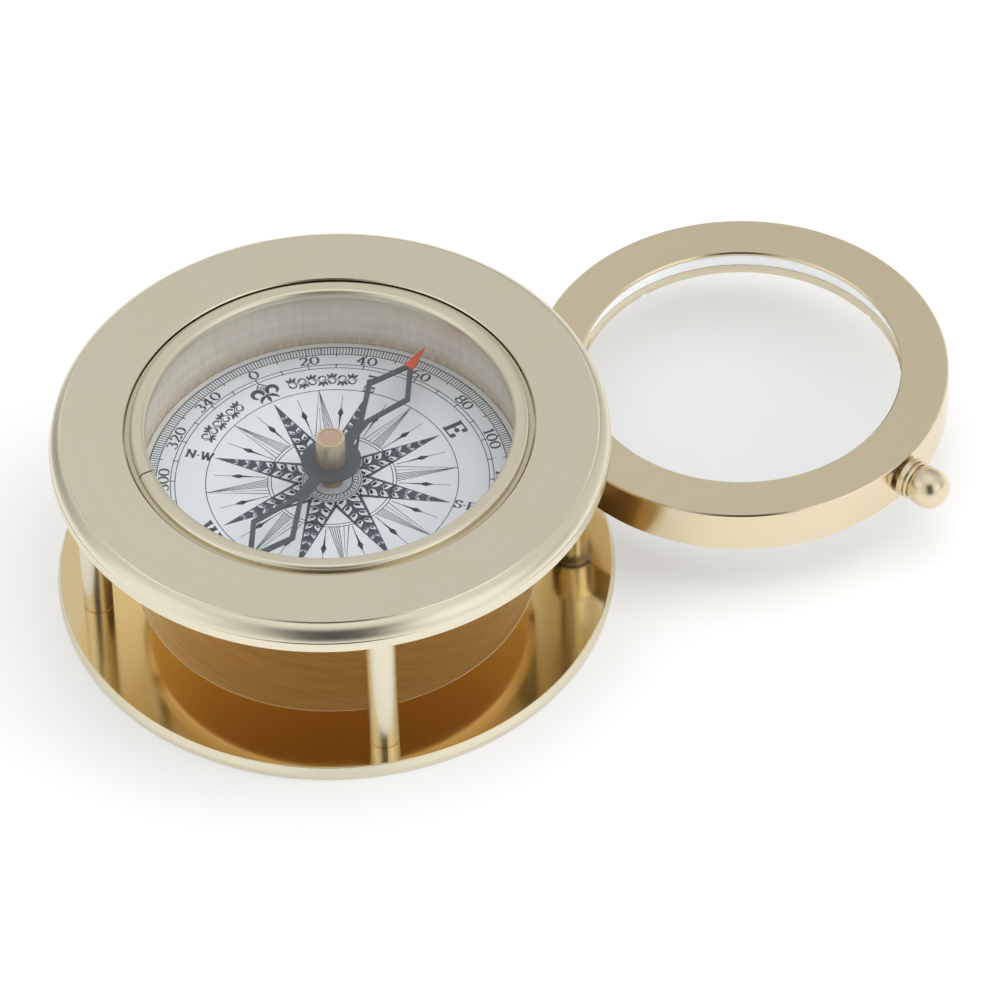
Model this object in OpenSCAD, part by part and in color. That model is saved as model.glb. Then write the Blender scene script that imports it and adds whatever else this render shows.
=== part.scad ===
// Desk compass: a glazed compass bowl in a top plate, carried over a round
// base on three posts, with a lens that swings out from the gap between them.
// Origin at the centre of the base's underside, +Z up, +X through the pivot post.

/* [Base] */
// Radius of the round base plate
base_r = 40.2; // [36:0.1:44]
// Thickness of the base plate
base_t = 2.2; // [2:0.1:3]
// Radius of the shallow turned disc in the base's top face
turned_r = 28.8; // [20:0.2:31]

/* [Posts] */
// Radius of the circle that the posts stand on
post_ring_r = 34.8; // [34.4:0.1:35.2]
// Radius of a post
post_r = 2.15; // [1.9:0.05:2.4]
// Height of the gap between the base and the top plate
gap_h = 24.1; // [23.6:0.1:25]

/* [Top plate] */
// Radius of the top plate's upright lip
lip_r = 39.9; // [39.2:0.1:41]
// Height of the upright lip
lip_h = 1.8; // [1.4:0.1:1.9]
// Height of the rounded bead over the lip
bead_h = 2.6; // [2.2:0.1:2.8]
// Radius of the opening in the top plate
opening_r = 29.2; // [29.15:0.05:29.6]

/* [Compass] */
// Inside radius of the compass bowl
bowl_r = 27.6; // [27.4:0.1:27.8]
// Depth of the dial's face below the top plate's top face
dial_depth = 11.9; // [11.2:0.1:11.9]
// Inside radius of the split ring over the glass
bezel_r = 26.1; // [25.4:0.1:26.4]
// Length of the needle from its centre to its tip
needle_len = 25.8; // [18:0.2:26]
// Direction of the needle's north end, anticlockwise from +X
needle_angle = 47.2; // [0:0.2:360]

/* [Magnifier] */
// Outside radius of the lens frame
frame_r = 30.1; // [29.2:0.1:30.2]
// Radius of the clear opening over the lens
lens_view_r = 23.2; // [20:0.1:23.4]
// Height of the lens frame
frame_h = 7; // [6.7:0.1:7]
// Distance from the pivot to the centre of the lens
arm_len = 30.7; // [30.2:0.1:31]
// Direction from the pivot to the lens at rest, anticlockwise from +X
rest_angle = 24.2; // [0:0.1:45]
// Direction of the knob on the frame, from the pivot-to-lens line
knob_angle = -75.5; // [-78:0.5:-60]
// Length of the knob beyond the frame
knob_len = 7; // [6.6:0.1:8]

/* [Hidden] */
$fn = 96;

// Clearances
eps = 0.01;
fit_gap = 0.02;        // radial, between pieces of one body
run_gap = 0.05;        // radial, in the pivot
face_gap = 0.05;       // axial, on each side of the swinging frame

// Base edge and turned disc
base_shoulder = 0.4;   // how far the base's top edge is drawn in
base_foot = 0.2;       // and its bottom edge
base_mid_z = base_t / 2;
base_round = 0.2;
turned_depth = 0.15;

// Screws
screw_r = 1.25;
screw_head_r = 2.5;
screw_head_h = 1.3;
screw_grip = 5;        // length of thread in a post
drive_w = 0.6;         // screwdriver slot
drive_depth = 0.5;
post_foot = 0.2;       // chamfer at a post's foot
spigot_r = 1.5;
spigot_h = 1.8;

// Heights
top_z0 = base_t + gap_h;
bead_z0 = top_z0 + lip_h;
top_z = bead_z0 + bead_h;
ledge_z = top_z - 1.9;
dial_z = top_z - dial_depth;
bead_groove = 0.15;
bead_w = 1.5;
bead_step = 0.1;

// Bowl and what it holds
bowl_wall = 0.9;
bowl_floor = 1.1;
card_t = 0.3;
plate_t = 0.8;
shelf_z = dial_z - card_t - plate_t;
shelf_w = 1.6;
well_h = 0.8;          // space below the dial plate for the nut
bowl_in_z = shelf_z - well_h;
bowl_z = bowl_in_z - bowl_floor;
flange_r = opening_r - 0.2;
flange_h = 1.0;
glass_r = bowl_r + 0.3;
glass_t = 1.2;
gasket_t = 0.2;
gasket_z = ledge_z - 0.3;
glass_z = gasket_z + gasket_t;
ring_z = glass_z + glass_t;
ring_r = 28.35;
ring_h = 1.3;
ring_round = 0.65;
rim_z = ring_z + 0.4;
split_w = 0.25;
split_angle = 187.5;

// Needle
needle_lift = 3.9;     // height of the needle over the dial
needle_t = 0.35;
needle_z = dial_z + needle_lift;
needle_bar = 0.85;     // width of the needle's bars
stem_w = 1.7;          // width of the stem between disc and bars
kite_start = 8;        // along the needle, from its centre
kite_wide = 15.7;
kite_half_w = 3.2;
kite_end = 21.8;
disc_r = 4.3;          // disc at the needle's middle
disc_hole_r = 1.3;
hub_r = 2.15;
hub_h = 0.8;
cap_r = 2.1;
cap_z0 = needle_z + needle_t;
cap_gap = 1.1;         // clearance under the glass
cap_h = glass_z - cap_z0 - cap_gap;
cap_rim_w = 0.4;
cap_dish = 0.12;       // depth of the cap's dished top
cap_bore_r = 1.1;
cap_crown = 0.5;
jewel_h = 1.0;
jewel_dent = 0.5;
pin_r = 0.75;
pin_foot_r = 1.6;
pin_foot_h = 0.8;
pin_tip_h = 1.6;
nut_r = 2.0;
nut_t = 0.6;

// Lens frame
frame_z = 8.5;
frame_top = frame_z + frame_h;
frame_edge = 0.2;
seat_r = lens_view_r + 0.9;
frame_mid_z = frame_z + frame_h / 2;
lens_lip_h = 0.55;
lens_edge_h = 5.2;
lens_top_bulge = 0.5;
lens_low_bulge = 0.9;
lens_r = seat_r - fit_gap;
keeper_w = 0.85;
keeper_inset = 0.15;
keeper_slot = 0.4;     // depth of the slots that turn it
eye_r = 3.3;
eye_bore_r = screw_r + run_gap;
washer_t = 0.4;
washer_r = 2.9;

// Knob, along its own axis from the frame's edge
knob_neck_r = 1.7;
knob_neck = 0.35;
knob_disc_r = 2.95;
knob_disc_h = 0.85;
knob_groove_r = 2.35;
knob_groove_h = 0.35;
knob_rim_h = 0.45;      // thin rim under the ball
knob_rim_gap = 0.15;
knob_ball_r = 3.0;
stud_r = 1.2;
stud_in = 3.0;         // length of the stud inside the frame
stud_out = 4.6;        // length of the stud beyond it

brass = "goldenrod";

// Points of an arc, from angle a0 to a1
function arc(x, y, r, a0, a1, steps = 12) =
    [for (i = [0:steps]) let (a = a0 + (a1 - a0) * i / steps)
        [x + r * cos(a), y + r * sin(a)]];

// A flat ring or disc
module ring(r_out, r_in, z0, h) {
    translate([0, 0, z0])
        difference() {
            cylinder(r = r_out, h = h);
            if (r_in > 0)
                translate([0, 0, -1]) cylinder(r = r_in, h = h + 2);
        }
}

// Puts children at one post's place on the post circle
module at_post(a) rotate([0, 0, a]) translate([post_ring_r, 0, 0]) children();

// Countersunk screw from below the base, its head flush with the underside
module countersunk(length) {
    difference() {
        union() {
            cylinder(r1 = screw_head_r, r2 = screw_r, h = screw_head_h);
            cylinder(r = screw_r, h = length);
        }
        translate([-screw_head_r, -drive_w / 2, -1])
            cube([2 * screw_head_r, drive_w, 1 + drive_depth]);
    }
}

module screw_hole() {
    translate([0, 0, -eps])
        cylinder(r1 = screw_head_r + fit_gap, r2 = screw_r + fit_gap,
                 h = screw_head_h + eps);
    cylinder(r = screw_r + fit_gap, h = base_t + 1);
}

module base_plate() {
    color(brass)
        difference() {
            rotate_extrude($fn = 180)
                polygon(concat(
                    [[0, 0], [base_r - base_foot, 0], [base_r, base_mid_z - 0.1],
                     [base_r, base_mid_z]],
                    arc(base_r - base_shoulder - base_round,
                        base_t - base_round, base_round, 0, 90, 5),
                    [[turned_r + turned_depth, base_t],
                     [turned_r, base_t - turned_depth],
                     [0, base_t - turned_depth]]));
            for (a = [0, 180, 270]) at_post(a) screw_hole();
        }
}

module pillar() {
    difference() {
        union() {
            translate([0, 0, base_t])
                cylinder(r1 = post_r - post_foot, r2 = post_r, h = post_foot);
            translate([0, 0, base_t + post_foot])
                cylinder(r = post_r, h = gap_h - post_foot);
            translate([0, 0, top_z0]) cylinder(r = spigot_r, h = spigot_h);
        }
        translate([0, 0, base_t - 1])
            cylinder(r = screw_r + fit_gap, h = screw_grip + 1.5);
    }
}

module front_pillar() color(brass) at_post(270) pillar();

module left_pillar() color(brass) at_post(180) pillar();

module base_screws()
    color("dimgray")
        for (a = [180, 270]) at_post(a) countersunk(base_t + screw_grip);

module lower_pivot_post()
    color(brass) at_post(0)
        ring(post_r, screw_r + fit_gap, base_t,
             frame_z - face_gap - washer_t - base_t);

module upper_pivot_post()
    color(brass) at_post(0)
        ring(post_r, screw_r + fit_gap, frame_top + face_gap + washer_t,
             top_z0 - frame_top - face_gap - washer_t);

module pivot_axle()
    color("dimgray") at_post(0) countersunk(top_z0 + spigot_h);

module lower_friction_washer()
    color("silver") at_post(0)
        ring(washer_r, screw_r + fit_gap, frame_z - face_gap - washer_t, washer_t);

module upper_friction_washer()
    color("silver") at_post(0)
        ring(washer_r, screw_r + fit_gap, frame_top + face_gap, washer_t);

module top_plate() {
    bead_c = lip_r - bead_w - bead_step;
    color(brass)
        difference() {
            rotate_extrude($fn = 180)
                polygon(concat(
                    [[bowl_r + bowl_wall + fit_gap, top_z0],
                     [lip_r - bead_groove, top_z0],
                     [lip_r, top_z0 + bead_groove],
                     [lip_r, bead_z0 - bead_groove],
                     [lip_r - bead_groove, bead_z0]],
                    [for (a = [0:7.5:90])
                        [bead_c + bead_w * cos(a),
                         bead_z0 + (bead_h - bead_groove) * sin(a)]],
                    [[bead_c - bead_groove, top_z],
                     [opening_r + bead_groove, top_z],
                     [opening_r, top_z - bead_groove],
                     [opening_r, ledge_z],
                     [bowl_r + bowl_wall + fit_gap, ledge_z]]));
            for (a = [180, 270])
                at_post(a)
                    translate([0, 0, top_z0 - 1])
                        cylinder(r = spigot_r + fit_gap, h = spigot_h + 1.2);
            at_post(0)
                translate([0, 0, top_z0 - 1])
                    cylinder(r = screw_r + fit_gap, h = spigot_h + 1.2);
        }
}

module compass_bowl()
    color("khaki")
        rotate_extrude($fn = 180)
            polygon([[0, bowl_z],
                     [bowl_r + bowl_wall - 1, bowl_z],
                     [bowl_r + bowl_wall, bowl_z + 1],
                     [bowl_r + bowl_wall, ledge_z],
                     [flange_r, ledge_z],
                     [flange_r, rim_z],
                     [ring_r + fit_gap, rim_z],
                     [ring_r + fit_gap, ring_z],
                     [glass_r + fit_gap, ring_z],
                     [glass_r + fit_gap, gasket_z],
                     [bowl_r - 0.4, gasket_z],
                     [bowl_r, gasket_z - 0.8],
                     [bowl_r, shelf_z],
                     [bowl_r - shelf_w, shelf_z],
                     [bowl_r - shelf_w, bowl_in_z],
                     [0, bowl_in_z]]);

module dial_plate()
    color("silver") ring(bowl_r - fit_gap, pin_r + fit_gap, shelf_z, plate_t);

module dial_card()
    color("white") ring(bowl_r - 0.1, pin_foot_r + fit_gap, shelf_z + plate_t, card_t);

module pivot_pin() {
    tip_z = cap_z0 + cap_h - cap_crown - jewel_h + jewel_dent;
    color(brass)
        rotate_extrude($fn = 48)
            polygon([[0, shelf_z - nut_t],
                     [pin_r, shelf_z - nut_t],
                     [pin_r, shelf_z + plate_t],
                     [pin_foot_r, shelf_z + plate_t],
                     [pin_foot_r, dial_z + pin_foot_h],
                     [pin_r, dial_z + pin_foot_h + 0.6],
                     [pin_r, tip_z - pin_tip_h],
                     [0, tip_z - face_gap]]);
}

module pivot_pin_nut()
    color(brass)
        translate([0, 0, shelf_z - nut_t])
            difference() {
                cylinder(r = nut_r, h = nut_t, $fn = 6);
                translate([0, 0, -1]) cylinder(r = pin_r + fit_gap, h = nut_t + 2);
            }

// The opening between one half's bars, as an outline grown by w
module kite(w) {
    polygon([[kite_start - 2 * w, 0],
             [kite_wide, kite_half_w + w],
             [kite_end + 2 * w, 0],
             [kite_wide, -kite_half_w - w]]);
}

module needle_half(tip)
    difference() {
        union() {
            kite(needle_bar / 2);
            translate([0, -stem_w / 2]) square([kite_start + 1, stem_w]);
            polygon([[kite_end - 1.2, needle_bar], [kite_end + 1, needle_bar * 0.7],
                     [tip, 0], [kite_end + 1, -needle_bar * 0.7],
                     [kite_end - 1.2, -needle_bar]]);
        }
        kite(-needle_bar / 2);
    }

module compass_needle()
    color("slategray")
        rotate([0, 0, needle_angle])
            translate([0, 0, needle_z])
                difference() {
                    linear_extrude(needle_t) {
                        needle_half(needle_len);
                        mirror([1, 0]) needle_half(needle_len);
                        circle(r = disc_r);
                    }
                    translate([0, 0, -1]) cylinder(r = disc_hole_r, h = 3);
                }

module needle_hub()
    color(brass)
        rotate_extrude()
            polygon([[cap_bore_r, needle_z - hub_h],
                     [hub_r - 0.5, needle_z - hub_h],
                     [hub_r, needle_z - hub_h + 0.4],
                     [hub_r, needle_z],
                     [cap_bore_r, needle_z]]);

module needle_cap()
    color("peru")
        translate([0, 0, cap_z0])
            difference() {
                union() {
                    cylinder(r = cap_r, h = cap_h - 0.15);
                    cylinder(r = cap_r - 0.15, h = cap_h);
                    translate([0, 0, -needle_t])
                        cylinder(r = disc_hole_r - fit_gap, h = needle_t + eps);
                }
                translate([0, 0, -1]) cylinder(r = cap_bore_r, h = cap_h - cap_crown + 1);
                translate([0, 0, cap_h - cap_dish]) cylinder(r = cap_r - cap_rim_w, h = 1);
            }

module cap_jewel() {
    jewel_z = cap_z0 + cap_h - cap_crown - jewel_h;
    color("crimson")
        rotate_extrude($fn = 48)
            polygon([[0, jewel_z + jewel_dent],
                     [cap_bore_r - 0.3, jewel_z],
                     [cap_bore_r - fit_gap, jewel_z],
                     [cap_bore_r - fit_gap, jewel_z + jewel_h],
                     [0, jewel_z + jewel_h]]);
}

module window_gasket()
    color("black") ring(glass_r, bowl_r - 0.2, gasket_z, gasket_t);

module window_glass()
    color("lightcyan", 0.35) ring(glass_r, 0, glass_z, glass_t);

module glass_retaining_ring() {
    mid = (ring_r + bezel_r) / 2;
    half = (ring_r - bezel_r) / 2 - ring_round;
    color(brass)
        difference() {
            rotate_extrude($fn = 180)
                polygon(concat(
                    [[bezel_r, ring_z], [ring_r, ring_z]],
                    arc(mid + half, ring_z + ring_h - ring_round, ring_round, 0, 90, 8),
                    arc(mid - half, ring_z + ring_h - ring_round, ring_round, 90, 180, 8)));
            rotate([0, 0, split_angle])
                translate([bezel_r - 1, -split_w / 2, ring_z - 1])
                    rotate([0, 0, 8]) cube([ring_r - bezel_r + 2, split_w, ring_h + 2]);
        }
}

// Puts children at the lens centre, with +X along the line from the pivot
module at_lens()
    at_post(0) rotate([0, 0, rest_angle]) translate([arm_len, 0, 0]) children();

// Puts children on the knob's axis, with +Z outward from the frame's edge
module at_knob()
    at_lens()
        rotate([0, 0, knob_angle])
            translate([frame_r, 0, frame_mid_z])
                rotate([0, 90, 0]) children();

// How far a lens face stands over the lens's edge, at radius r
function lens_rise(r, bulge) = bulge * (1 - pow(r / lens_r, 2)) + fit_gap;

// Height of the lens's upper edge
lens_top_z = frame_top - lens_lip_h - lens_rise(lens_view_r, lens_top_bulge);

module magnifier_frame() {
    lip_z = frame_top - lens_lip_h;
    color(brass)
        difference() {
            at_lens()
                difference() {
                    union() {
                        rotate_extrude($fn = 180)
                            polygon([[seat_r, frame_z],
                                     [frame_r - frame_edge, frame_z],
                                     [frame_r, frame_z + frame_edge],
                                     [frame_r, frame_top - frame_edge],
                                     [frame_r - frame_edge, frame_top],
                                     [lens_view_r + frame_edge, frame_top],
                                     [lens_view_r, frame_top - frame_edge],
                                     [lens_view_r, lip_z],
                                     [seat_r, lip_z]]);
                        translate([-arm_len, -eye_r, frame_z + frame_edge])
                            cube([3, 2 * eye_r, frame_h - 2 * frame_edge]);
                        translate([-arm_len, 0, frame_z + frame_edge])
                            cylinder(r = eye_r, h = frame_h - 2 * frame_edge);
                    }
                    translate([-arm_len, 0, frame_z - 1])
                        cylinder(r = eye_bore_r, h = frame_h + 2);
                }
            at_knob()
                translate([0, 0, -stud_in]) cylinder(r = stud_r + fit_gap, h = stud_in + 1);
        }
}

// Radius of the ball that a lens face with this bulge is cut from
function face_ball(bulge) = (pow(lens_r, 2) + pow(bulge, 2)) / (2 * bulge);

module magnifier_lens() {
    low_ball = face_ball(lens_low_bulge);
    top_ball = face_ball(lens_top_bulge);
    low_half = asin(lens_r / low_ball);
    top_half = asin(lens_r / top_ball);
    color("azure", 0.4)
        at_lens()
            rotate_extrude($fn = 180)
                polygon(concat(
                    arc(0, lens_top_z - lens_edge_h - lens_low_bulge + low_ball,
                        low_ball, 270, 270 + low_half, 20),
                    arc(0, lens_top_z + lens_top_bulge - top_ball,
                        top_ball, 90 - top_half, 90, 20)));
}

module lens_retaining_ring() {
    keeper_z = frame_z + keeper_inset;
    keeper_r = seat_r - keeper_w;
    color(brass)
        at_lens()
            difference() {
                ring(seat_r - fit_gap, keeper_r, keeper_z,
                     lens_top_z - lens_edge_h - lens_rise(keeper_r, lens_low_bulge)
                     - keeper_z);
                for (a = [0, 90])
                    rotate([0, 0, a])
                        translate([-seat_r, -0.5, keeper_z - 1])
                            cube([2 * seat_r, 1, 1 + keeper_slot]);
            }
}

module knob_stud()
    color("dimgray")
        at_knob() translate([0, 0, -stud_in + 0.2]) cylinder(r = stud_r, h = stud_in + stud_out);

module knob_collar()
    color(brass)
        at_knob()
            rotate_extrude()
                polygon([[stud_r + fit_gap, 0],
                         [knob_neck_r, 0],
                         [knob_neck_r, knob_neck],
                         [knob_disc_r - 0.1, knob_neck],
                         [knob_disc_r, knob_neck + 0.1],
                         [knob_disc_r, knob_neck + knob_disc_h - 0.1],
                         [knob_disc_r - 0.1, knob_neck + knob_disc_h],
                         [knob_groove_r, knob_neck + knob_disc_h],
                         [knob_groove_r, knob_neck + knob_disc_h + knob_groove_h],
                         [stud_r + fit_gap, knob_neck + knob_disc_h + knob_groove_h]]);

module knob_cap() {
    cap_z = knob_neck + knob_disc_h + knob_groove_h;
    ball_z = cap_z + knob_rim_h + knob_rim_gap;
    dome = knob_len - ball_z;
    color(brass)
        at_knob()
            difference() {
                rotate_extrude()
                    polygon(concat(
                        [[0, cap_z],
                         [knob_disc_r - 0.1, cap_z],
                         [knob_disc_r, cap_z + 0.1],
                         [knob_disc_r, cap_z + knob_rim_h - 0.1],
                         [knob_disc_r - 0.1, cap_z + knob_rim_h],
                         [knob_groove_r, cap_z + knob_rim_h],
                         [knob_groove_r, ball_z]],
                        [for (a = [-35:5:85])
                            [knob_ball_r * pow(cos(a), 0.8),
                             ball_z + dome * (sin(a) + sin(35)) / (1 + sin(35))]],
                        [[0, knob_len]]));
                translate([0, 0, cap_z - 1])
                    cylinder(r = stud_r + fit_gap, h = stud_out + 0.3 - cap_z + 1);
            }
}

base_plate();
front_pillar();
left_pillar();
base_screws();
lower_pivot_post();
upper_pivot_post();
pivot_axle();
lower_friction_washer();
upper_friction_washer();
top_plate();
compass_bowl();
dial_plate();
dial_card();
pivot_pin();
pivot_pin_nut();
compass_needle();
needle_hub();
needle_cap();
cap_jewel();
window_gasket();
window_glass();
glass_retaining_ring();
magnifier_frame();
magnifier_lens();
lens_retaining_ring();
knob_stud();
knob_collar();
knob_cap();
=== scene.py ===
import math

import bmesh
import bpy
from mathutils import Matrix, Vector

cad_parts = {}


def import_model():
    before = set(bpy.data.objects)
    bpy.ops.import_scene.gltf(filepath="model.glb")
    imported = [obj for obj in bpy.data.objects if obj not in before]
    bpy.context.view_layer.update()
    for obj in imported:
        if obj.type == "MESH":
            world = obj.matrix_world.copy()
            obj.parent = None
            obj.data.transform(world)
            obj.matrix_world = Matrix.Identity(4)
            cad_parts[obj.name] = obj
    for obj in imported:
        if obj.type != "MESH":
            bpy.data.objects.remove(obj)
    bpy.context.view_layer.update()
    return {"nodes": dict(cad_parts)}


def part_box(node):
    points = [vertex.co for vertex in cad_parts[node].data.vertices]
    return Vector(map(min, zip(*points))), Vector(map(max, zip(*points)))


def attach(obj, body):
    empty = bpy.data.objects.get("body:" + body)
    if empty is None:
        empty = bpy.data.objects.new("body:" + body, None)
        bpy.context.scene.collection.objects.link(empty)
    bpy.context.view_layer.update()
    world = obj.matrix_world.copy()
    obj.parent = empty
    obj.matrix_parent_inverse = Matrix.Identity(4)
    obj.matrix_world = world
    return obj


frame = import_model()
nodes = frame["nodes"]

MM = 0.001

# ---------------------------------------------------------------- places, from the frame

BASE_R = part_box("base_plate")[1].x
BASE_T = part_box("base_plate")[1].z
TURNED_R = 28.8 * MM            # the turned disc in the base's top face
TURNED_HIGHLIGHT = 0.19 * MM         # width of the painted highlight line round that disc
TOP_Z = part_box("top_plate")[1].z
BEAD_FOOT = TOP_Z - 2.6 * MM    # the foot of the bead round the top plate
BEAD_R = 36.6 * MM              # everything further out at the bead's height is bead
BEAD_LEAN = (math.radians(62), math.radians(30))    # how far its shading leans, foot and top
BOWL_R = 27.6 * MM              # the bowl's inside wall
BOWL_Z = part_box("compass_bowl")[0].z
BOWL_INSIDE_Z = BOWL_Z + 1.2 * MM
CARD_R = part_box("dial_card")[1].x
DIAL_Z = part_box("dial_card")[1].z
NORTH = math.radians(107.3)     # where the dial's zero lies, anticlockwise from +X
NEEDLE_ANGLE = math.radians(47.2)
RED_FROM = 21.5 * MM            # the needle is red beyond this
CAP_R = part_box("needle_cap")[1].x
CAP_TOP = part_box("needle_cap")[1].z
CAP_RIM = 0.4 * MM              # width of the rim round the cap's dished top
LENS_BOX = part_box("magnifier_lens")
LENS_C = (LENS_BOX[0] + LENS_BOX[1]) / 2
LENS_R = (LENS_BOX[1].x - LENS_BOX[0].x) / 2

# Brass colours, by finish
SATIN = (0.82, 0.76, 0.59)
FACED = (0.81, 0.70, 0.49)
GOLDEN = (0.84, 0.66, 0.37)


# ---------------------------------------------------------------- material nodes

class Nodes:
    """Builds one material's node tree."""

    def __init__(self, name, owner=None):
        """Empties the owner's node tree, or a new material's."""
        self.material = owner or bpy.data.materials.new(name)
        self.material.use_nodes = True
        self.tree = self.material.node_tree
        self.tree.nodes.clear()
        kind = "ShaderNodeOutputWorld" if owner else "ShaderNodeOutputMaterial"
        self.out = self.tree.nodes.new(kind)
        self.position = self.add("ShaderNodeTexCoord").outputs["Generated" if owner else "Object"]

    def add(self, kind, **settings):
        """A new node with these settings."""
        node = self.tree.nodes.new(kind)
        for key, value in settings.items():
            setattr(node, key, value)
        return node

    def feed(self, socket, value):
        """Links a socket to an output, or sets it to a constant."""
        if isinstance(value, bpy.types.NodeSocket):
            self.tree.links.new(value, socket)
        elif isinstance(value, (tuple, list)) and len(value) == 3 and socket.type == "RGBA":
            socket.default_value = (*value, 1)
        else:
            socket.default_value = value

    def math(self, operation, a, b=0.0):
        """One arithmetic step on two numbers."""
        node = self.add("ShaderNodeMath", operation=operation)
        self.feed(node.inputs[0], a)
        self.feed(node.inputs[1], b)
        return node.outputs[0]

    def times(self, a, b):
        return self.math("MULTIPLY", a, b)

    def plus(self, a, b):
        return self.math("ADD", a, b)

    def ramp(self, value, low, high, to_low=0.0, to_high=1.0):
        """A smooth step between two levels as the value rises from low to high."""
        node = self.add("ShaderNodeMapRange", interpolation_type="SMOOTHSTEP")
        self.feed(node.inputs["Value"], value)
        self.feed(node.inputs["From Min"], low)
        self.feed(node.inputs["From Max"], high)
        self.feed(node.inputs["To Min"], to_low)
        self.feed(node.inputs["To Max"], to_high)
        return node.outputs[0]

    def mix(self, factor, a, b):
        """Mix of two colours."""
        node = self.add("ShaderNodeMix", data_type="RGBA")
        self.feed(node.inputs["Factor"], factor)
        self.feed(node.inputs["A"], a)
        self.feed(node.inputs["B"], b)
        return node.outputs["Result"]

    def blend(self, factor, a, b):
        """Mix of two numbers."""
        node = self.add("ShaderNodeMix", data_type="FLOAT")
        self.feed(node.inputs["Factor"], factor)
        self.feed(node.inputs["A"], a)
        self.feed(node.inputs["B"], b)
        return node.outputs["Result"]

    def split(self):
        """The position's x, y and z."""
        node = self.add("ShaderNodeSeparateXYZ")
        self.feed(node.inputs[0], self.position)
        return node.outputs

    def join(self, x, y, z):
        """A vector of three numbers."""
        node = self.add("ShaderNodeCombineXYZ")
        for socket, value in zip(node.inputs, (x, y, z)):
            self.feed(socket, value)
        return node.outputs[0]

    def noise(self, vector, scale, detail=2.0, roughness=0.5):
        """Noise at a place, from 0 to 1."""
        node = self.add("ShaderNodeTexNoise")
        self.feed(node.inputs["Vector"], vector)
        node.inputs["Scale"].default_value = scale
        node.inputs["Detail"].default_value = detail
        node.inputs["Roughness"].default_value = roughness
        return node.outputs["Fac"]

    def polar(self, centre=(0, 0)):
        """Radius from a vertical axis, and the angle round it in radians."""
        x, y, z = self.split()
        dx = self.math("SUBTRACT", x, centre[0])
        dy = self.math("SUBTRACT", y, centre[1])
        flat = self.join(dx, dy, 0.0)
        length = self.add("ShaderNodeVectorMath", operation="LENGTH")
        self.feed(length.inputs[0], flat)
        angle = self.math("ARCTAN2", dy, dx)
        return length.outputs["Value"], angle, z

    def bump(self, height, distance, strength=1.0, normal=None):
        """A bumped normal, over the surface's own or over the one given."""
        node = self.add("ShaderNodeBump")
        if normal is not None:
            self.feed(node.inputs["Normal"], normal)
        self.feed(node.inputs["Height"], height)
        node.inputs["Distance"].default_value = distance
        node.inputs["Strength"].default_value = strength
        return node.outputs[0]

    def principled(self, **inputs):
        """Ends the material in a Principled shader; _ stands for the space in a socket's name."""
        shader = self.add("ShaderNodeBsdfPrincipled")
        for key, value in inputs.items():
            self.feed(shader.inputs[key.replace("_", " ")], value)
        self.tree.links.new(shader.outputs[0], self.out.inputs["Surface"])
        return self.material


def lathe_lines(n, centre, fine, coarse):
    """Turning marks: noise that changes quickly with radius and height, slowly round the axis."""
    radius, angle, z = n.polar(centre)
    turn_x = n.times(n.math("SINE", angle), 0.6)
    turn_y = n.times(n.math("COSINE", angle), 0.6)
    across = n.plus(radius, z)
    fast = n.noise(n.join(n.times(across, fine), turn_x, turn_y), 1.0, 4.0, 0.7)
    slow = n.noise(n.join(n.times(across, coarse), turn_x, turn_y), 1.0, 2.0)
    return radius, z, fast, slow


def scratches(n, angle, scale, width):
    """Fine straight hairlines in one direction, where a stretched noise crosses its middle."""
    stretch = 14
    mapping = n.add("ShaderNodeMapping", vector_type="TEXTURE")
    n.feed(mapping.inputs["Vector"], n.position)
    mapping.inputs["Rotation"].default_value = (0, 0, angle)
    mapping.inputs["Scale"].default_value = (stretch / scale, 1 / scale, 1 / scale)
    value = n.noise(mapping.outputs[0], 1.0, 2.0)
    away = n.math("ABSOLUTE", n.math("SUBTRACT", value, 0.5))
    return n.ramp(away, 0.0, width, 1.0, 0.0)


def worn(n):
    """Faint handling marks: soft cloudy smears and two sets of hairlines, from 0 to 1."""
    cloud = n.ramp(n.noise(n.position, 140.0, 4.0, 0.6), 0.42, 0.72)
    lines = n.math("MAXIMUM", scratches(n, 0.5, 900.0, 0.006), scratches(n, 2.1, 700.0, 0.005))
    sparse = n.ramp(n.noise(n.position, 90.0, 1.0), 0.5, 0.62)
    return cloud, n.times(lines, sparse)


def bead_normal(n):
    """Leans the top plate's bead further back towards its foot, as a flatter turned bead would."""
    x, y, z = n.split()
    radius, _, _ = n.polar()
    lean = n.blend(n.ramp(z, BEAD_FOOT, TOP_Z), *BEAD_LEAN)
    out = n.math("DIVIDE", n.math("SINE", lean), n.math("MAXIMUM", radius, 0.001))
    turned = n.join(n.times(x, out), n.times(y, out), n.math("COSINE", lean))
    above_foot = n.ramp(z, BEAD_FOOT + 0.05 * MM, BEAD_FOOT + 0.12 * MM)
    below_top = n.ramp(z, TOP_Z - 0.25 * MM, TOP_Z - 0.15 * MM, 1.0, 0.0)
    on_bead = n.times(n.times(above_foot, below_top), n.ramp(radius, BEAD_R, BEAD_R + 0.1 * MM))
    mixer = n.add("ShaderNodeMix", data_type="VECTOR")
    n.feed(mixer.inputs["Factor"], n.times(on_bead, 0.9))
    n.feed(mixer.inputs["A"], n.add("ShaderNodeNewGeometry").outputs["Normal"])
    n.feed(mixer.inputs["B"], turned)
    unit = n.add("ShaderNodeVectorMath", operation="NORMALIZE")
    n.feed(unit.inputs[0], mixer.outputs["Result"])
    return unit.outputs[0]


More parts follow.
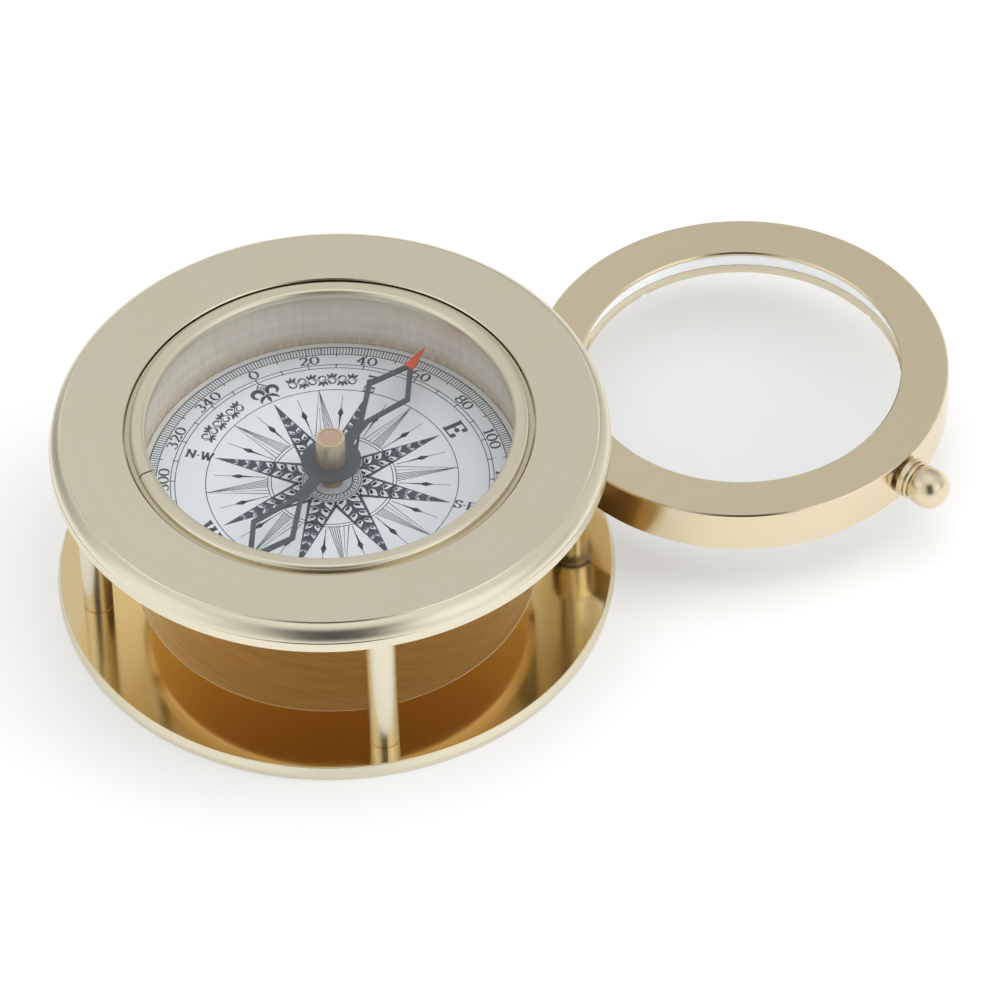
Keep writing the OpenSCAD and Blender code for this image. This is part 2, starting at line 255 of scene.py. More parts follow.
def brass(name, colour, rough, line_depth, centre=(0, 0), anisotropy=0.0, lean=None):
    """Turned brass: concentric lines, clouded polish, hairlines, and slightly darker tarnish.

    The lines run round the centre. lean is a function for the normal that the bump lies over.
    """
    n = Nodes(name)
    _, _, fast, slow = lathe_lines(n, centre, 9000.0, 900.0)
    cloud, lines = worn(n)
    tarnish = tuple(c * (1 - 0.05 * share) for c, share in zip(colour, (1.0, 1.5, 2.5)))
    groove = tuple(c * 0.9 for c in colour)
    patina = n.mix(n.times(cloud, 0.25), colour, tarnish)
    patina = n.mix(n.times(slow, 0.5), patina, groove)
    patina = n.mix(n.times(fast, 0.4), patina, groove)
    roughness = n.plus(rough, n.times(cloud, rough * 0.12))
    roughness = n.plus(roughness, n.times(lines, 0.10))
    roughness = n.plus(roughness, n.times(fast, rough * 0.35))
    height = n.math("SUBTRACT", n.times(fast, line_depth), n.times(lines, 0.4))
    return n.principled(Base_Color=patina, Metallic=1.0, Roughness=roughness, Anisotropic=anisotropy,
                        Normal=n.bump(height, 0.004 * MM, normal=lean(n) if lean else None))


SWIRL_CENTRE = (12 * MM, 9 * MM)    # the second centre of the brushed disc's crossing arcs


def base_brass():
    """Polished top face with a brushed disc let into it, a painted highlight line round the disc, and a
    pale turned edge.
    """
    n = Nodes("base_brass")
    radius, z, fast, slow = lathe_lines(n, (0, 0), 8000.0, 1200.0)
    _, _, swirl, _ = lathe_lines(n, SWIRL_CENTRE, 6000.0, 900.0)
    cloud, lines = worn(n)
    high = n.ramp(z, BASE_T * 0.6, BASE_T * 0.8)
    inside = n.times(n.ramp(radius, TURNED_R, TURNED_R + 0.05 * MM, 1.0, 0.0), high)
    soft = 0.02 * MM
    # painted highlight: a thin pale ring round the brushed disc, made almost unmetallic so the lamps
    # light it bright
    highlight_end = TURNED_R + TURNED_HIGHLIGHT
    line = n.times(n.ramp(radius, TURNED_R - soft, TURNED_R + soft),
                   n.ramp(radius, highlight_end - soft, highlight_end + soft, 1.0, 0.0))
    line = n.times(line, high)
    edge = n.ramp(radius, BASE_R - 0.6 * MM, BASE_R - 0.4 * MM)
    arcs = n.blend(0.45, fast, swirl)
    brushed = n.mix(n.ramp(arcs, 0.32, 0.68), (0.74, 0.56, 0.28), (0.98, 0.80, 0.47))
    mirror = n.mix(n.times(cloud, 0.3), GOLDEN, (0.88, 0.62, 0.28))
    colour = n.mix(inside, mirror, brushed)
    # the painted highlight line's pale colour
    colour = n.mix(line, colour, (1.0, 0.86, 0.58))
    colour = n.mix(edge, colour, n.mix(slow, SATIN, (0.70, 0.63, 0.48)))
    roughness = n.blend(inside, n.plus(0.09, n.times(cloud, 0.03)), n.blend(arcs, 0.30, 0.50))
    roughness = n.blend(line, roughness, 0.45)
    roughness = n.blend(edge, roughness, n.blend(fast, 0.16, 0.30))
    roughness = n.plus(roughness, n.times(lines, 0.06))
    marks = n.plus(n.times(arcs, inside), n.times(fast, n.times(edge, 0.4)))
    return n.principled(Base_Color=colour, Metallic=n.blend(line, 1.0, 0.1), Roughness=roughness,
                        Normal=n.bump(marks, 0.03 * MM, 0.6))


def bowl_brass():
    """Pale brushed bowl: upright streaks inside, patchily browner just above the dial, and turned lines
    outside and underneath.
    """
    n = Nodes("bowl_brass")
    radius, z, fast, slow = lathe_lines(n, (0, 0), 4000.0, 500.0)
    _, angle, _ = n.polar()
    inner = n.ramp(radius, BOWL_R + 0.1 * MM, BOWL_R + 0.3 * MM, 1.0, 0.0)
    inner = n.times(inner, n.ramp(z, BOWL_INSIDE_Z, BOWL_INSIDE_Z + 0.1 * MM))
    round_x = n.times(n.math("SINE", angle), 46.0)
    round_y = n.times(n.math("COSINE", angle), 46.0)
    streak = n.noise(n.join(round_x, round_y, n.times(z, 60.0)), 1.0, 3.0, 0.65)
    band = n.noise(n.join(n.times(z, 900.0), n.times(round_x, 0.02), 0.0), 1.0, 3.0)
    tone = n.mix(n.ramp(streak, 0.2, 0.8), (0.84, 0.75, 0.63), (0.98, 0.92, 0.81))
    tone = n.mix(n.times(n.ramp(band, 0.3, 0.7), 0.6), tone, (0.80, 0.69, 0.53))
    # the inside wall turns patchily darker brown within 2.5 mm above the dial
    near_dial = n.ramp(z, DIAL_Z, DIAL_Z + 2.5 * MM, 1.0, 0.0)
    brown_near_dial = n.times(near_dial, n.ramp(streak, 0.3, 0.6))
    tone = n.mix(n.times(brown_near_dial, 0.6), tone, (0.55, 0.38, 0.20))
    wall = n.mix(slow, (0.54, 0.38, 0.18), (0.48, 0.34, 0.16))
    outer = n.mix(n.ramp(z, BOWL_Z + 0.1 * MM, BOWL_Z + 0.3 * MM), (0.83, 0.62, 0.33), wall)
    outer = n.mix(n.ramp(z, BOWL_Z + 3.0 * MM, BOWL_Z + 6.0 * MM), outer, (0.66, 0.58, 0.42))
    colour = n.mix(inner, outer, tone)
    roughness = n.blend(inner, n.blend(fast, 0.14, 0.26), n.blend(streak, 0.34, 0.5))
    height = n.blend(inner, n.times(fast, 0.4), n.plus(streak, band))
    return n.principled(Base_Color=colour, Metallic=n.blend(inner, 1.0, 0.45), Roughness=roughness,
                        Normal=n.bump(height, 0.01 * MM, 0.5))


def cap_brass():
    """Turned brass cap with a coppery dished top."""
    n = Nodes("cap_brass")
    radius, z, fast, slow = lathe_lines(n, (0, 0), 9000.0, 2500.0)
    dish_r = CAP_R - CAP_RIM
    dish = n.times(n.ramp(radius, dish_r - 0.05 * MM, dish_r + 0.02 * MM, 1.0, 0.0),
                   n.ramp(z, CAP_TOP - 0.3 * MM, CAP_TOP - 0.2 * MM))
    side = n.mix(slow, (0.84, 0.72, 0.52), (0.66, 0.54, 0.36))
    copper = n.mix(fast, (0.74, 0.50, 0.36), (0.58, 0.40, 0.30))
    return n.principled(Base_Color=n.mix(dish, side, copper), Metallic=0.85,
                        Roughness=n.blend(fast, 0.26, 0.42), Normal=n.bump(fast, 0.01 * MM, 0.5))


def steel():
    """Plain turned steel."""
    n = Nodes("turned_steel")
    grain = n.noise(n.position, 4000.0, 3.0)
    return n.principled(Base_Color=n.mix(grain, (0.42, 0.42, 0.43), (0.55, 0.55, 0.56)), Metallic=1.0,
                        Roughness=n.blend(grain, 0.24, 0.4), Normal=n.bump(grain, 0.004 * MM))


def needle_paint():
    """Dark painted needle whose north tip is dipped in red."""
    n = Nodes("needle_paint")
    x, y, _ = n.split()
    along = n.plus(n.times(x, math.cos(NEEDLE_ANGLE)), n.times(y, math.sin(NEEDLE_ANGLE)))
    wobble = n.times(n.noise(n.position, 900.0, 2.0), 0.6 * MM)
    tip = n.ramp(n.plus(along, wobble), RED_FROM, RED_FROM + 0.1 * MM)
    grain = n.noise(n.position, 1500.0, 4.0, 0.6)
    slate = n.mix(grain, (0.036, 0.043, 0.050), (0.058, 0.068, 0.078))
    red = n.mix(grain, (0.62, 0.05, 0.02), (0.80, 0.12, 0.05))
    return n.principled(Base_Color=n.mix(tip, slate, red), Metallic=0.0,
                        Roughness=n.blend(grain, 0.3, 0.45), Coat_Weight=0.2,
                        Normal=n.bump(grain, 0.01 * MM, 0.5))


def paper(name="dial_paper"):
    """Coated dial paper: faint fibres, and a warmer, darker tint towards the edge."""
    n = Nodes(name)
    radius, _, _ = n.polar()
    fibre = n.noise(n.position, 2600.0, 5.0, 0.7)
    blotch = n.noise(n.position, 220.0, 3.0)
    white = n.mix(fibre, (0.80, 0.84, 0.89), (0.87, 0.90, 0.94))
    white = n.mix(n.times(blotch, 0.3), white, (0.76, 0.80, 0.86))
    # the paper turns warmer and darker within 2 mm of the card's edge
    edge = n.times(n.ramp(radius, CARD_R - 2.0 * MM, CARD_R), 0.35)
    white = n.mix(edge, white, (0.70, 0.64, 0.52))
    return n.principled(Base_Color=white, Roughness=n.blend(fibre, 0.42, 0.56), Coat_Weight=0.08,
                        Normal=n.bump(fibre, 0.006 * MM, 0.5))


def ink():
    """Printing ink with slight unevenness."""
    n = Nodes("dial_ink")
    grain = n.noise(n.position, 3000.0, 4.0, 0.7)
    shade = n.mix(n.ramp(grain, 0.35, 0.8), (0.035, 0.045, 0.065), (0.08, 0.10, 0.14))
    return n.principled(Base_Color=shade, Roughness=n.blend(grain, 0.45, 0.65))


RIM_PAINTED_GLOW = 0.32    # painted glow on a ground lens edge, which stands in for the light it gathers from the glass


def glass(name, ior, smear, rim=None):
    """Clear glass, faintly smeared, that casts almost no shadow.

    rim is the centre and radius of an edge that is ground white and has a painted glow.
    """
    n = Nodes(name)
    cloud = n.noise(n.position, 160.0, 4.0, 0.6)
    roughness = n.ramp(cloud, 0.5, 0.8, 0.0, smear)
    clearness, glow = 1.0, 0.0
    if rim:
        centre, radius = rim
        away, _, _ = n.polar(centre)
        clearness = n.ramp(away, radius - 0.03 * MM, radius - 0.02 * MM, 1.0, 0.0)
        roughness = n.blend(clearness, 0.8, roughness)
        # painted glow: the ground rim emits light in place of the light that the edge gathers
        glow = n.blend(clearness, RIM_PAINTED_GLOW, 0.0)
    n.principled(Base_Color=(0.99, 0.997, 1.0), Roughness=roughness, IOR=ior,
                 Transmission_Weight=clearness,
                 Emission_Color=(0.96, 0.98, 1.0), Emission_Strength=glow)
    shader = n.out.inputs["Surface"].links[0].from_socket
    clear = n.add("ShaderNodeBsdfTransparent")
    clear.inputs["Color"].default_value = (0.985, 0.99, 0.995, 1)
    path = n.add("ShaderNodeLightPath")
    mixer = n.add("ShaderNodeMixShader")
    n.feed(mixer.inputs[0], path.outputs["Is Shadow Ray"])
    n.tree.links.new(shader, mixer.inputs[1])
    n.tree.links.new(clear.outputs[0], mixer.inputs[2])
    n.tree.links.new(mixer.outputs[0], n.out.inputs["Surface"])
    return n.material


def rubber():
    """Dull black rubber."""
    n = Nodes("gasket_rubber")
    grain = n.noise(n.position, 2500.0, 3.0)
    return n.principled(Base_Color=n.mix(grain, (0.015, 0.015, 0.016), (0.04, 0.04, 0.042)),
                        Roughness=n.blend(grain, 0.5, 0.7), Normal=n.bump(grain, 0.01 * MM))


def jewel():
    """The red bearing stone in the cap."""
    n = Nodes("ruby_jewel")
    grain = n.noise(n.position, 2500.0, 2.0)
    return n.principled(Base_Color=n.mix(grain, (0.5, 0.02, 0.05), (0.6, 0.05, 0.09)),
                        Roughness=n.blend(grain, 0.05, 0.12), Coat_Weight=0.5)


def dress(material, *names):
    """Gives CAD nodes a material."""
    for name in names:
        mesh = nodes[name].data
        mesh.materials.clear()
        mesh.materials.append(material)


def dress_cad():
    """Gives every CAD node its material."""
    lens_c = (LENS_C.x, LENS_C.y)
    beside = (1, 1)    # a centre a metre off, which makes the lines run straight along a small part
    dress(brass("top_brass", SATIN, 0.20, 0.5, anisotropy=0.3, lean=bead_normal), "top_plate")
    dress(brass("ring_brass", SATIN, 0.25, 0.5, anisotropy=0.2), "glass_retaining_ring")
    dress(brass("frame_brass", FACED, 0.16, 0.4, centre=lens_c, anisotropy=0.2),
          "magnifier_frame", "lens_retaining_ring")
    dress(brass("post_brass", SATIN, 0.24, 0.6, centre=beside),
          "front_pillar", "left_pillar", "lower_pivot_post", "upper_pivot_post")
    dress(brass("knob_brass", FACED, 0.21, 0.3, centre=beside), "knob_collar", "knob_cap")
    dress(cap_brass(), "needle_cap")
    dress(brass("pin_brass", (0.55, 0.42, 0.24), 0.34, 0.6), "needle_hub", "pivot_pin", "pivot_pin_nut")
    dress(base_brass(), "base_plate")
    dress(bowl_brass(), "compass_bowl", "dial_plate")
    dress(steel(), "base_screws", "pivot_axle", "lower_friction_washer", "upper_friction_washer",
          "knob_stud")
    dress(needle_paint(), "compass_needle")
    dress(paper(), "dial_card")
    dress(glass("window_glass", 1.36, 0.03), "window_glass")
    dress(glass("lens_glass", 1.5, 0.02, rim=(lens_c, LENS_R)), "magnifier_lens")
    dress(rubber(), "window_gasket")
    dress(jewel(), "cap_jewel")


# ---------------------------------------------------------------- printed dial

class Print:
    """Flat printed shapes, each a thin closed prism that stands a hair over the card."""

    def __init__(self, level=1):
        self.points, self.faces = [], []
        self.low = DIAL_Z - 0.02 * MM
        self.high = DIAL_Z + 0.012 * MM * level

    def place(self, bearing, radius):
        """A bearing in degrees and a radius in mm, as a point on the dial."""
        turn = NORTH - math.radians(bearing)
        return (radius * math.cos(turn) * MM, radius * math.sin(turn) * MM)

    def strip(self, left, right, closed=False):
        """A band between two rows of dial points, with its ends joined if it is closed."""
        start, count = len(self.points), len(left)
        for level in (self.low, self.high):
            self.points += [(x, y, level) for x, y in left] + [(x, y, level) for x, y in right]
        rows = [(i, (i + 1) % count) for i in range(count if closed else count - 1)]
        for i, j in rows:
            corners = [start + k for k in (i, j, count + j, count + i)]
            above = [k + 2 * count for k in corners]
            self.faces += [tuple(above), tuple(reversed(corners))]
            self.faces.append((corners[0], corners[1], above[1], above[0]))
            self.faces.append((corners[2], corners[3], above[3], above[2]))
        if not closed:
            for i in (0, count - 1):
                self.faces.append((start + i, start + count + i, start + 3 * count + i,
                                   start + 2 * count + i))

    def circle(self, radius, width, steps=240):
        """A ring of this width round the dial's centre."""
        turns = [360 * i / steps for i in range(steps)]
        self.strip([self.place(t, radius + width / 2) for t in turns],
                   [self.place(t, radius - width / 2) for t in turns], closed=True)

    def line(self, bearing, inner, outer, width_in, width_out=None):
        """A radial line, its widths in mm at its two ends."""
        width_out = width_in if width_out is None else width_out
        ends = ((inner, width_in), (outer, width_out))
        self.strip([self.at(bearing, r, -w / 2, 0) for r, w in ends],
                   [self.at(bearing, r, w / 2, 0) for r, w in ends])

    def at(self, bearing, radius, along, out):
        """The point that lies so far clockwise and outward of a place, in straight mm."""
        turn = NORTH - math.radians(bearing)
        x = (radius + out) * math.cos(turn) + along * math.sin(turn)
        y = (radius + out) * math.sin(turn) - along * math.cos(turn)
        return (x * MM, y * MM)

    def stroke(self, bearing, radius, path, widths):
        """A pen stroke along a path of (clockwise, outward) steps from a place."""
        left, right = [], []
        for i, (x, y) in enumerate(path):
            before, after = path[max(i - 1, 0)], path[min(i + 1, len(path) - 1)]
            dx, dy = after[0] - before[0], after[1] - before[1]
            length = math.hypot(dx, dy) or 1.0
            half = widths(i / (len(path) - 1), dx / length, dy / length) / 2
            left.append(self.at(bearing, radius, x - dy / length * half, y + dx / length * half))
            right.append(self.at(bearing, radius, x + dy / length * half, y - dx / length * half))
        self.strip(left, right)

    def finish(self, name, material, slot=None):
        """Makes one piece of everything printed so far."""
        mesh = bpy.data.meshes.new(name)
        mesh.from_pydata(self.points, [], self.faces)
        shape = bmesh.new()
        shape.from_mesh(mesh)
        bmesh.ops.recalc_face_normals(shape, faces=shape.faces)
        shape.to_mesh(mesh)
        shape.free()
        mesh.materials.append(material)
        obj = bpy.data.objects.new(name, mesh)
        bpy.context.scene.collection.objects.link(obj)
        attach(obj, "body")
        return obj


def oval(cx, cy, rx, ry, start=0, end=360, steps=20):
    """A path along an ellipse from one angle to another."""
    angles = [math.radians(start + (end - start) * i / steps) for i in range(steps + 1)]
    return [(cx + rx * math.cos(a), cy + ry * math.sin(a)) for a in angles]


def bar(x, y, half):
    """A level path, such as a serif."""
    return [(x - half, y), (x + half, y)]


def glyph(sign):
    """A sign's width and pen strokes, in units of its height."""
    serif = 0.16
    shapes = {
        "0": (0.78, [oval(0.34, 0.5, 0.29, 0.46)]),
        "1": (0.52, [[(0.24, 0.0), (0.24, 1.0)], [(0.24, 0.97), (0.08, 0.8)],
                     bar(0.24, 0.03, 0.19)]),
        "2": (0.78, [oval(0.33, 0.72, 0.24, 0.25, 160, -30) + [(0.36, 0.36), (0.1, 0.06)],
                     [(0.08, 0.06), (0.62, 0.06)], [(0.62, 0.02), (0.62, 0.22)]]),
        "3": (0.74, [oval(0.3, 0.75, 0.22, 0.22, 150, -85), oval(0.3, 0.27, 0.27, 0.25, 85, -150)]),
        "4": (0.8, [[(0.46, 0.0), (0.46, 0.98)], [(0.46, 0.98), (0.05, 0.3)],
                    [(0.03, 0.29), (0.68, 0.29)], bar(0.46, 0.03, 0.17)]),
        "6": (0.78, [oval(0.34, 0.28, 0.27, 0.25), oval(0.52, 0.32, 0.45, 0.64, 180, 95)]),
        "8": (0.76, [oval(0.33, 0.74, 0.22, 0.22), oval(0.33, 0.26, 0.28, 0.24)]),
        "-": (0.34, [[(0.04, 0.42), (0.27, 0.42)], [(0.04, 0.46), (0.27, 0.46)]]),
        "N": (1.02, [[(0.18, 0.0), (0.18, 0.95)], [(0.18, 0.95), (0.78, 0.05)],
                     [(0.78, 0.0), (0.78, 1.0)],
                     bar(0.16, 0.03, serif), bar(0.14, 0.97, serif), bar(0.78, 0.97, serif)]),
        "S": (0.8, [oval(0.37, 0.73, 0.25, 0.23, 30, 255) + oval(0.37, 0.27, 0.28, 0.23, 90, -150),
                    [(0.6, 0.72), (0.6, 0.98)], [(0.09, 0.02), (0.09, 0.28)]]),
        "E": (0.96, [[(0.24, 0.0), (0.24, 1.0)], bar(0.44, 0.97, 0.36), bar(0.45, 0.03, 0.38),
                     bar(0.42, 0.52, 0.2), [(0.8, 0.72), (0.8, 0.99)], [(0.83, 0.01), (0.83, 0.3)],
                     [(0.62, 0.4), (0.62, 0.64)]]),
        "W": (1.3, [[(0.14, 0.97), (0.4, 0.03)], [(0.4, 0.03), (0.62, 0.8)],
                    [(0.6, 0.97), (0.88, 0.03)], [(0.88, 0.03), (1.14, 0.97)],
                    bar(0.15, 0.97, serif), bar(0.6, 0.97, serif), bar(1.12, 0.97, serif)]),
    }
    return shapes[sign]


def write(art, signs, bearing, radius, height, stretch):
    """Signs set round the dial with their tops outward: upright strokes thick, level ones thin."""
    total = sum(glyph(s)[0] for s in signs) * height * stretch
    place = -total / 2
    thick, thin = 0.23, 0.09

    def pen(_, dx, dy):
        return height * math.hypot(thick * dy, thin * dx)

    for sign in signs:
        wide, strokes = glyph(sign)
        turn = math.degrees((place + wide * height * stretch / 2) / radius)
        for path in strokes:
            local = [((x - wide / 2) * height * stretch, (y - 0.5) * height) for x, y in path]
            art.stroke(bearing + turn, radius, local, pen)
        place += wide * height * stretch


def leaf(width):
    """A pen that swells and closes again, like a leaf."""
    return lambda share, *_: 0.02 + width * max(0.0, math.sin(math.pi * share ** 0.75)) ** 0.8


def straight(x0, y0, x1, y1, steps=6):
    """A straight path in even steps."""
    return [(x0 + (x1 - x0) * i / steps, y0 + (y1 - y0) * i / steps) for i in range(steps + 1)]


def bent(x0, y0, x1, y1, bow, steps=8):
    """A path that bows sideways between its ends."""
    points = straight(x0, y0, x1, y1, steps)
    length = math.hypot(x1 - x0, y1 - y0)
    nx, ny = -(y1 - y0) / length, (x1 - x0) / length
    bows = [bow * math.sin(math.pi * i / steps) for i in range(steps + 1)]
    return [(x + nx * b, y + ny * b) for (x, y), b in zip(points, bows)]


def even(width):
    """A pen of one width."""
    return lambda *_: width


def tapered(start, end):
    """A pen whose width changes evenly along the stroke."""
    return lambda share, *_: start + (end - start) * share


# Radii and line widths of the printed dial, in mm
SCALE_IN = 25.2                 # the degree scale
SCALE_OUT = 26.6
NUMBER_R = 24.15                # the middle of its numbers
NUMBER_LAG = 0.8                # degrees the numbers sit past their own marks
BAND_R = (22.45, 23.1)          # the thin band inside the numbers
LETTER_R = 20.1                 # the middle of the ring of letters
CORNER_R = 19.75                # the middle of its smaller letters
ROSE_R = 18.05                  # the circle round the rose
POINT_R = 17.5                  # the tips of the rose's leafy points
INNER_R = (8.7, 9.2)            # the two circles within the rose
HUB_R = 3.9                     # the rosette round the pivot
HAIR = 0.13                     # a thin printed line


def degree_scale(material):
    """A mark at every degree, and a band below that is marked at every tenth."""
    art = Print()
    bold = 0.17
    for degree in range(360):
        wide = bold if degree % 5 == 0 else HAIR
        inner = SCALE_IN - (0.45 if degree % 10 == 0 else 0.0)
        art.line(degree, inner, SCALE_OUT, wide)
    art.circle(SCALE_IN, HAIR)
    art.circle(SCALE_OUT, bold)
    for radius in BAND_R:
        art.circle(radius, HAIR)
    for degree in range(0, 360, 10):
        art.line(degree, BAND_R[0], BAND_R[1] + 0.2, 0.16)
    art.finish("degree_scale", material)


def scale_numbers(material):
    """The degrees from 0 to 340, every twentieth."""
    art = Print()
    for degree in range(0, 360, 20):
        write(art, str(degree), degree + NUMBER_LAG, NUMBER_R, 1.6, stretch=1.25)
    art.finish("scale_numbers", material)


def label(art, signs, bearing, radius, height, quarter_turns):
    """Signs in one straight row, turned so many quarter turns from having their tops outward."""
    total = sum(glyph(s)[0] for s in signs)
    place = -total / 2
    for sign in signs:
        wide, strokes = glyph(sign)
        for path in strokes:
            local = [((x + place) * height, (y - 0.5) * height) for x, y in path]
            widths = [height * math.hypot(0.24 * abs(b[1] - a[1]), 0.08 * abs(b[0] - a[0]))
                      / max(math.dist(a, b), 1e-6) for a, b in zip(path, path[1:])]
            turned = [quarter(x, y, quarter_turns) for x, y in local]
            last = len(widths) - 1
            art.stroke(bearing, radius, turned,
                       lambda share, *_: widths[min(last, int(share * len(widths)))])
        place += wide


def quarter(x, y, turns):
    """A point after so many quarter turns anticlockwise."""
    for _ in range(turns % 4):
        x, y = -y, x
    return x, y


def direction_letters(material):
    """Large letters for three quarters, where north has its lily, and small ones between them."""
    art = Print()
    for bearing, signs, turns in ((90, "E", 0), (180, "S", 2), (270, "W", 2)):
        label(art, signs, bearing, LETTER_R, 2.9, turns)
    for bearing, signs, turns in ((135, "S-E", 1), (225, "S-W", 3), (315, "N-W", 3), (45, "N-E", 3)):
        label(art, signs, bearing, CORNER_R, 1.55, turns)
    art.finish("direction_letters", material)


def north_ornament(material):
    """A plain lily over a band, as on many compass dials."""
    art = Print()
    r = LETTER_R
    for side in (-1, 1):
        art.stroke(0, r, bent(0, -0.4, 0, 2.1, side * 0.85, 12), even(0.17))
        hook = oval(1.15, 0.15, 0.78, 0.78, 215, -70, 16)
        art.stroke(0, r, [(side * x, y) for x, y in hook],
                   lambda share, *_: 0.2 + 0.5 * math.sin(math.pi * share))
        foot = bent(0.25, -0.6, 1.45, -1.75, 0.3)
        art.stroke(0, r, [(side * x, y) for x, y in foot], leaf(0.5))
        for step in range(-2, 3):
            middle = 0.8 + 0.3 * step
            hatch = straight(-0.5, middle - 0.24 * side, 0.5, middle + 0.24 * side)
            art.stroke(0, r, hatch, even(0.08))
    art.stroke(0, r, bar(0, -0.6, 0.95), even(0.32))
    art.stroke(0, r, straight(0, -0.6, 0, -1.95), leaf(0.55))
    art.finish("north_ornament", material)


def scroll_ornament(material):
    """A leafy scroll on each side of the lily."""
    art = Print()
    for side, first, last, waves in ((-1, 11.5, 36.5, 6), (1, 10.0, 39.0, 7)):
        def wave(share):
            return 0.5 * math.sin(share * waves * math.pi)

        steps = waves * 10
        spots = [(side * (first + (last - first) * i / steps), wave(i / steps))
                 for i in range(steps + 1)]
        art.strip([art.place(b, LETTER_R + w + 0.1) for b, w in spots],
                  [art.place(b, LETTER_R + w - 0.1) for b, w in spots])
        for i in range(waves):
            up = 1 if i % 2 == 0 else -1
            bearing = side * (first + (last - first) * (i + 0.5) / waves)
            curl = oval(0.0, -0.3, 0.5, 0.46, 90, -200, 14)
            art.stroke(bearing, LETTER_R, [(side * x, up * y) for x, y in curl], tapered(0.12, 0.34))
            for lean in (-0.75, 0.0, 0.75):
                top = up * (1.0 - 0.35 * abs(lean))
                blade = bent(side * lean * 0.3, 0, side * lean, top, 0.1)
                art.stroke(bearing, LETTER_R + up * 0.4, blade, leaf(0.42))
    art.finish("scroll_ornament", material)


def rose(ink_material, white_material):
    """Eight leafy points, eight hatched rays and sixteen thin spears."""
    points, leaves, veins, rays, spears = Print(), Print(2), Print(3), Print(), Print()
    half = 2.3
    for k in range(8):
        bearing = 45 * k
        points.stroke(bearing, HUB_R, straight(0, 0, 0, POINT_R - HUB_R), tapered(2 * half, 0.05))
        leafage(leaves, veins, bearing, half)
        hatched_ray(rays, bearing + 22.5)
        for offset in (11.25, 33.75):
            spear(spears, bearing + offset)
    points.finish("rose_points", ink_material)
    leaves.finish("rose_leaves", white_material, "dial_paper")
    veins.finish("rose_veins", ink_material)
    rays.finish("rose_rays", ink_material)
    spears.finish("rose_spears", ink_material)


def leafage(leaves, veins, bearing, half):
    """White lobed leaves up a dark point, with dark veins. half is half the point's width."""
    reach = POINT_R - HUB_R
    rows = 7
    for step in range(rows):
        share = 0.03 + 0.12 * step
        room = half * (1 - share)
        foot = HUB_R + reach * share
        size = 1.75 * (1 - share) ** 0.7
        for side in (-1, 1):
            path = bent(side * 0.1 * room, 0, side * room * 0.66, size * 0.78, side * -0.14 * size)
            leaves.stroke(bearing, foot, path, leaf(room * 0.47))
            low = bent(side * 0.2 * room, -0.1 * size, side * room * 0.78, size * 0.14, side * 0.06)
            leaves.stroke(bearing, foot, low, leaf(room * 0.30))
            veins.stroke(bearing, foot, path[1:-2], even(0.07 * (1 - 0.5 * share)))


def hatched_ray(rays, bearing):
    """A ray outlined on both sides, with one side hatched by lines that run to its tip."""
    base_r, half = INNER_R[1], 1.4
    tip = ROSE_R + 0.05
    for side, width, end in ((-1.0, HAIR, 1.0), (1.0, HAIR, 1.0), (0.0, HAIR, 1.0),
                             (0.25, 0.12, 0.9), (0.5, 0.12, 0.93), (0.75, 0.12, 0.9),
                             (-0.5, 0.09, 0.6)):
        path = straight(side * half, 0, side * half * (1 - end), (tip - base_r) * end)
        rays.stroke(bearing, base_r, path, tapered(width, 0.05))


def spear(spears, bearing):
    """A thin shaft with a diamond on it and a thickened foot below that."""
    foot, tip, middle = INNER_R[1] + 0.3, 16.9, 13.4
    spears.line(bearing, foot, tip, 0.12, 0.08)
    diamond = ((-0.85, 0.05), (0.0, 0.42), (1.105, 0.04))
    spears.strip([spears.at(bearing, middle + out, -half, 0) for out, half in diamond],
                 [spears.at(bearing, middle + out, half, 0) for out, half in diamond])
    spears.line(bearing, middle - 2.6, middle, 0.10, 0.36)


def rose_circles(material):
    """The circle round the rose and the two within it."""
    art = Print()
    for radius in (ROSE_R, *INNER_R):
        art.circle(radius, HAIR)
    art.finish("rose_circles", material)


def hub_rosette(ink_material, white_material):
    """A rope-like ring round the pivot's foot."""
    ground = Print(4)
    ground.circle(HUB_R - 0.2, 1.3, 96)
    ground.finish("hub_ground", white_material, "dial_paper")
    art = Print(5)
    art.circle(HUB_R + 0.25, 0.16, 96)
    art.circle(HUB_R - 0.1, 0.10, 96)
    for k in range(36):
        art.stroke(k * 10, HUB_R - 0.5, bent(-0.15, -0.38, 0.15, 0.36, 0.08), leaf(0.16))
    art.circle(HUB_R - 0.95, 0.14, 96)
    art.finish("hub_rosette", ink_material)


def printed_dial():
    """Everything that is printed on the dial card."""
    black = ink()
    white = paper("dial_white")
    degree_scale(black)
    scale_numbers(black)
    direction_letters(black)
    north_ornament(black)
    scroll_ornament(black)
    rose_circles(black)
    rose(black, white)
    hub_rosette(black, white)


# ---------------------------------------------------------------- studio

FLOOR_GLOW = 0.34       # a faintly lit table, which keeps the shadows pale
FLOOR_DROP = 0.05 * MM  # keeps the floor's face clear of the base's underside

# The camera looks at TARGET from DISTANCE away, AZIMUTH round from -Y and ELEVATION above the floor.
TARGET = Vector((25.93, 8.75, 0)) * MM
DISTANCE = 1200 * MM
AZIMUTH = math.radians(-10.8)
ELEVATION = math.radians(46.37)
ROLL = -0.0302
SENSOR = 36.0
FOCAL = 8.2525 * SENSOR    # focal length as a multiple of the frame's width

# What the metal mirrors: azimuth, elevation, the angles from there at which a patch is full and
# at which it ends, and its strength
SKY_PATCHES = (
    (-80, 30, 8, 30, 0.30),
    (40, 35, 8, 30, 0.45),
    (150, 25, 5, 30, -0.25),
    (205, 12, 6, 28, -0.22),
    (75, 10, 5, 22, -0.20),
    (-130, 12, 6, 30, -0.25),
)
FRONT_DARK = 0.72       # strength of the dark patch on the camera's side


